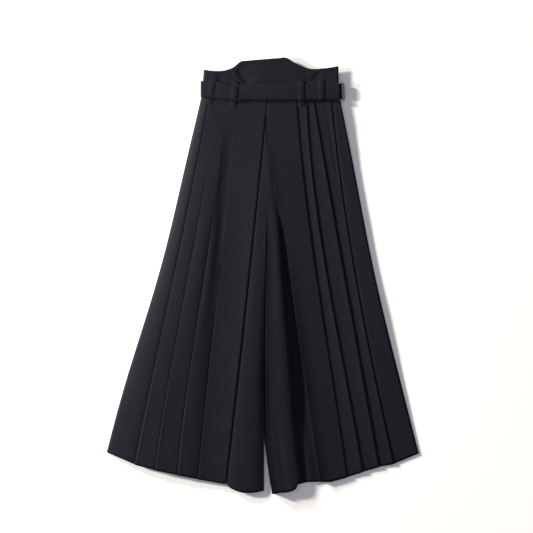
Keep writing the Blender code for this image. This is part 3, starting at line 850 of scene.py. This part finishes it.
def waist(top_edge, seam_down, middle, curl, creases, columns=180, rows=34):
    """Points of a waist panel; curl is how far it falls at its sides, on the right and on the left."""
    top = np.array(top_edge, float)
    share = np.linspace(0, 1, columns)
    top_across = top[0, 0] + (top[-1, 0] - top[0, 0]) * share
    top_down = through(top_edge, top_across)
    seam_across = -RIGHT_FOLDS[-1].seam + (LEFT_FOLDS[-1].seam + RIGHT_FOLDS[-1].seam) * share
    row = np.linspace(0, 1, rows)[:, None]
    across = top_across + (seam_across - top_across) * row
    down = top_down + (seam_down - top_down) * row
    edge = np.minimum(across - across[:, :1], across[:, -1:] - across)
    fall = (curl[0] + (curl[1] - curl[0]) * share) * (1 - smooth(edge / SIDE_RUN))
    height = middle - fall - crease_depth(across, down, creases)
    return place(across, down, height)


front_waist = waist(WAIST_TOP, SEAM_DOWN - 0.3, WAIST_MIDDLE, (2.8, 0.8), WAIST_CREASES)
back_edge = tuple((x, BACK_WAIST_TOP_DOWN) for x in (-148, 0, 169))
back_waist = waist(back_edge, BACK_SEAM_DOWN - 0.3, BACK_WAIST_MIDDLE, (0.0, 0.0), ())
lay("waist_front", front_waist, WAIST_THICK)
lay("waist_back", back_waist, WAIST_THICK)

# %% [markdown]
# The belt and its loops are straps: cloth folded over a stiffener and stitched near its edges. A strap
# follows a rule, a rounded flat section carried along a path, so a node tree makes it: the path's radius
# widens or narrows the strap, and its map is stored from the lengths along and around.

# %% The strap tree
straps, given, made = new_tree("sewn_strap", {"Width": 36.0 * MM, "Thickness": 1.7 * MM, "Corner": 0.7 * MM})
outline = add_node(
    straps, "GeometryNodeCurvePrimitiveQuadrilateral", Width=given["Width"], Height=given["Thickness"]
)
rounded = add_node(
    straps, "GeometryNodeFilletCurve", {"mode": "POLY"}, Curve=outline.outputs["Curve"],
    Radius=given["Corner"], Limit_Radius=True, Count=3,
)
so_far = add_node(straps, "GeometryNodeSplineParameter").outputs["Length"]
measured = []
for curve in (given["Geometry"], rounded.outputs["Curve"]):
    kept = add_node(straps, "GeometryNodeCaptureAttribute", {"domain": "POINT"}, Geometry=curve)
    kept.capture_items.new("FLOAT", "Length")
    straps.links.new(so_far, kept.inputs["Length"])
    measured.append(kept.outputs)
along, around = measured
swept = add_node(
    straps, "GeometryNodeCurveToMesh", Curve=along["Geometry"], Profile_Curve=around["Geometry"],
    Fill_Caps=True,
)
strap_map = add_node(straps, "ShaderNodeCombineXYZ", X=along["Length"], Y=around["Length"])
mapped = add_node(
    straps, "GeometryNodeStoreNamedAttribute", {"data_type": "FLOAT2", "domain": "CORNER"},
    Geometry=swept.outputs["Mesh"], Name="UVMap", Value=strap_map.outputs["Vector"],
)
end_tree(straps, mapped.outputs["Geometry"], given, made)


def poly_curve(name, lines, radii=None):
    """Poly curves through lists of points in metres, with a radius at each where given."""
    curve = bpy.data.curves.new(name, "CURVE")
    curve.dimensions = "3D"
    for line in lines:
        spline = curve.splines.new("POLY")
        spline.points.add(len(line) - 1)
        for k, point in enumerate(line):
            spline.points[k].co = (*point, 1.0)
            spline.points[k].radius = 1.0 if radii is None else float(radii[k])
    return curve

# %% [markdown]
# The belt starts folded over the ring's inner bar, crosses the front under the loops, turns round the
# wearer's right side and comes back under the waist to end below the ring.

# %% Belt
BELT_THICK = 1.7
BELT_FRONT = 9.5
BELT_BACK = 0.9
BELT_TURN = 156.3
RING_INNER = 169.5
RING_OUTER = 188.5
RING_LENGTH = 41.0
RING_DOWN = 52.6
RING_OUTER_BAR = 7.5
RING_SIDE_BAR = 2.4
RING_HEIGHT = 2.2
RING_UNDERSIDE = 6.4
RING_TILT = 1.2
RING_SLANT = 0.04
BELT_WIDTH_FULL = 38.4
# The belt's two edges along the front. It tilts up and dips towards the wearer's right.
Edge = namedtuple("Edge", "across top foot")
BELT_EDGES = (
    Edge(-157.2, 34.1, 58.9), Edge(-154, 32.4, 60.6), Edge(-146, 31.6, 61.4), Edge(-132, 32.0, 62.6),
    Edge(-120, 33.6, 63.8), Edge(-104, 38.0, 65.2), Edge(-88, 41.2, 66.8), Edge(-72, 41.2, 69.6),
    Edge(-58, 38.4, 71.4), Edge(-44, 34.8, 72.0), Edge(0, 33.4, 72.6), Edge(84, 33.6, 72.8),
    Edge(150, 35.6, 70.4), Edge(165, 35.6, 70.4),
)
bar = RING_INNER + RING_SIDE_BAR / 2
over_bar = RING_UNDERSIDE + RING_HEIGHT + 0.15 + BELT_THICK / 2
# The belt's path is (across, height), from behind the bar over it to the front.
hook = [(bar + x, over_bar - sunk) for x, sunk in (
    (5.8, 2.6), (6.1, 1.7), (6.0, 0.9), (5.6, 0.35), (4.9, 0.08), (3.9, 0.0), (0.0, 0.0), (-4.0, 0.0),
)]
front_run = [(x, BELT_FRONT + 0.25 * sin(x / 23.0)) for x in np.linspace(bar - 12, -146, 60)]
half = (BELT_FRONT - BELT_BACK) / 2
side_turn = [
    (-BELT_TURN + 3.5 * (1 - sin(a)), BELT_BACK + half + half * cos(a)) for a in np.linspace(0, pi, 17)
]
back_run = [(x, BELT_BACK) for x in np.linspace(-140, 172, 20)]
rise = [(176, 1.2), (180, 2.8), (183, 4.6), (187, 5.6)]
belt_path = np.array(hook + front_run + side_turn + back_run + rise)
edges = np.array(BELT_EDGES)
belt_top = np.interp(belt_path[:, 0], edges[:, 0], edges[:, 1])
belt_foot = np.interp(belt_path[:, 0], edges[:, 0], edges[:, 2])
belt_points = place(belt_path[:, 0], (belt_top + belt_foot) / 2, belt_path[:, 1])
belt_radii = (belt_foot - belt_top) / BELT_WIDTH_FULL
pieces["belt_strap"] = through_tree(
    "belt_strap", poly_curve("belt_path", [belt_points], belt_radii), straps, suiting,
    Width=BELT_WIDTH_FULL * MM, Thickness=BELT_THICK * MM,
)

# %% [markdown]
# Four loops hold the belt. Each is sewn down above and below it and stands over it, so its path climbs the
# belt's edge, runs across and comes down again.

# %% Belt loops
LOOP_WIDTH = 14.5
LOOP_THICK = 0.45
Loop = namedtuple("Loop", "top_across top_down foot_across foot_down")
LOOPS = (
    Loop(-127, 24, -136, 82), Loop(-73, 29, -79, 89), Loop(84, 28, 84, 88), Loop(133, 24, 133, 76),
)
LOOP_OVER = BELT_FRONT + BELT_THICK / 2 + 0.1 + LOOP_THICK / 2
LOOP_ON_WAIST = WAIST_MIDDLE + WAIST_THICK / 2 + 0.1 + LOOP_THICK / 2
LOOP_ROW = 5  # of the cloth under the loops' feet
LOOP_ON_LEG = {
    side: FLUSH[side] + 2 * layers[LOOP_ROW] + WALL / 2 + 0.1 + LOOP_THICK / 2
    for side, layers in LAYERS.items()
}
LOOP_CLIMB = 3.6


def loop_path(loop):
    """A loop's path from the waist over the belt to the leg."""
    centre = (loop.top_across + loop.foot_across) / 2
    top = np.interp(centre, edges[:, 0], edges[:, 1])
    foot = np.interp(centre, edges[:, 0], edges[:, 2])
    down = np.linspace(loop.top_down, loop.foot_down, 40)
    climb = smooth((down - top + LOOP_CLIMB) / LOOP_CLIMB)
    fall = smooth((down - foot) / LOOP_CLIMB)
    on_leg = LOOP_ON_LEG["left" if centre > 0 else "right"]
    height = LOOP_ON_WAIST + (LOOP_OVER - LOOP_ON_WAIST) * climb - (LOOP_OVER - on_leg) * fall
    share = (down - loop.top_down) / (loop.foot_down - loop.top_down)
    across = loop.top_across + (loop.foot_across - loop.top_across) * share
    return across, down, height


loop_paths = [loop_path(loop) for loop in LOOPS]
for number, (across, down, height) in enumerate(loop_paths, start=1):
    name = "loop_strap_%d" % number
    pieces[name] = through_tree(
        name, poly_curve(name + "_path", [place(across, down, height)]), straps, suiting,
        Width=LOOP_WIDTH * MM, Thickness=LOOP_THICK * MM, Corner=0.2 * MM,
    )

# %% [markdown]
# Belt and loops are sewn with a tonal thread. A stitch is a short raised stroke, so a tree sets one small
# bead at even steps along each seam line, turned the way it runs.

# %% Stitches
stitching, given, sewn = new_tree("stitches", {"Step": 3.1 * MM, "Long": 2.2 * MM, "Thick": 0.45 * MM})
steps = add_node(
    stitching, "GeometryNodeCurveToPoints", {"mode": "LENGTH"}, Curve=given["Geometry"], Length=given["Step"]
)
bead = add_node(stitching, "GeometryNodeMeshUVSphere", Segments=6, Rings=4, Radius=0.5)
bead_size = add_node(stitching, "ShaderNodeCombineXYZ", X=given["Thick"], Y=given["Thick"], Z=given["Long"])
turned = add_node(
    stitching, "FunctionNodeAlignRotationToVector", {"axis": "Z"}, Vector=steps.outputs["Tangent"]
)
beads = add_node(
    stitching, "GeometryNodeInstanceOnPoints", Points=steps.outputs["Points"], Instance=bead.outputs["Mesh"],
    Rotation=turned.outputs["Rotation"], Scale=bead_size.outputs["Vector"],
)
end_tree(stitching, beads.outputs["Instances"], given, sewn)
SEAM_INSET = 2.4
TACK_INSET = 1.2
STITCH_SINK = 0.12
run_x = np.linspace(-150, 168, 160)
belt_front = np.array(front_run)[::-1]
run_z = np.interp(run_x, belt_front[:, 0], belt_front[:, 1]) + BELT_THICK / 2 - STITCH_SINK
seams = [
    place(run_x, np.interp(run_x, edges[:, 0], edges[:, 1]) + SEAM_INSET, run_z),
    place(run_x, np.interp(run_x, edges[:, 0], edges[:, 2]) - SEAM_INSET, run_z),
]
for across, down, height in loop_paths:
    for at in (2, -3):
        tack = np.linspace(-LOOP_WIDTH / 2 + TACK_INSET, LOOP_WIDTH / 2 - TACK_INSET, 8)
        top = height[at] + LOOP_THICK / 2 - STITCH_SINK
        seams.append(place(across[at] + tack, down[at], top))
pieces["stitches"] = through_tree("stitches", poly_curve("seams", seams), stitching, thread)

# %% [markdown]
# The ring is one loop of metal with rounded bars: narrow at its sides and where the belt folds over it,
# broad and flat on the outside where it shows.

# %% Ring
def rounded_rectangle(left, right, top, foot, radius, steps=6):
    """Places (across, down) round a rectangle with rounded corners."""
    corners = ((right, top, 0), (right, foot, 1), (left, foot, 2), (left, top, 3))
    around = []
    for x, down, quarter in corners:
        centre_x = x - radius if x == right else x + radius
        centre_down = down + radius if down == top else down - radius
        for angle in np.linspace(-pi / 2 + quarter * pi / 2, quarter * pi / 2, steps):
            around.append((centre_x + radius * cos(angle), centre_down + radius * sin(angle)))
    return np.array(around)


ring_top, ring_foot = RING_DOWN - RING_LENGTH / 2, RING_DOWN + RING_LENGTH / 2
outer = rounded_rectangle(RING_INNER, RING_OUTER, ring_top, ring_foot, 3.2)
inner = rounded_rectangle(
    RING_INNER + RING_SIDE_BAR, RING_OUTER - RING_OUTER_BAR, ring_top + RING_SIDE_BAR,
    ring_foot - RING_SIDE_BAR, 1.4,
)
# The bar's section is an oval squared by these powers, more across it than over it.
ACROSS_POWER, OVER_POWER = 0.6, 0.8
ring_maker = bmesh.new()
bands = []
for angle in np.linspace(0, 2 * pi, 17)[:-1]:
    share = 0.5 - 0.5 * np.sign(cos(angle)) * abs(cos(angle)) ** ACROSS_POWER
    lift = np.sign(sin(angle)) * abs(sin(angle)) ** OVER_POWER
    spot = outer + (inner - outer) * share
    spot[:, 0] += RING_SLANT * (spot[:, 1] - RING_DOWN)
    tilt = RING_TILT * (spot[:, 0] - RING_INNER) / (RING_OUTER - RING_INNER)
    height = RING_UNDERSIDE + RING_HEIGHT / 2 - tilt + lift * RING_HEIGHT / 2
    bands.append([ring_maker.verts.new(v) for v in place(spot[:, 0], spot[:, 1], height)])
for k, band in enumerate(bands):
    after = bands[(k + 1) % len(bands)]
    for j in range(len(band)):
        ring_maker.faces.new((band[j - 1], band[j], after[j], after[j - 1]))
bmesh.ops.recalc_face_normals(ring_maker, faces=ring_maker.faces)
ring_mesh = bpy.data.meshes.new("ring_casting")
ring_maker.to_mesh(ring_mesh)
ring_maker.free()
ring_mesh.materials.append(gunmetal)
ring_mesh.shade_smooth()
pieces["ring_casting"] = add_object("ring_casting", ring_mesh)
print("ring bar shows at x = %.1f mm" % (RING_OUTER - RING_OUTER_BAR / 2 - CENTRE_X))

# %% [markdown]
# Everything lies on one body, so all pieces ride on it. A piece that stands for an imported solid hides that
# solid.

# %% Hand the pieces to the frame
STANDS_FOR = {
    "front_leg_right": "right_front_leg", "front_leg_left": "left_front_leg",
    "back_leg_right": "right_back_leg", "back_leg_left": "left_back_leg",
    "waist_front": "front_waist", "waist_back": "back_waist",
    "belt_strap": "belt", "ring_casting": "belt_ring",
}
STANDS_FOR.update({"loop_strap_%d" % n: "belt_loop_%d" % n for n in (1, 2, 3, 4)})
for name, piece in pieces.items():
    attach(piece, "root")
    if name in STANDS_FOR:
        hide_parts(STANDS_FOR[name])
# Columns: width, length and area of the piece lying open, in metres, and the pieces that it rests on.
Cut = namedtuple("Cut", "width length area rests_on")
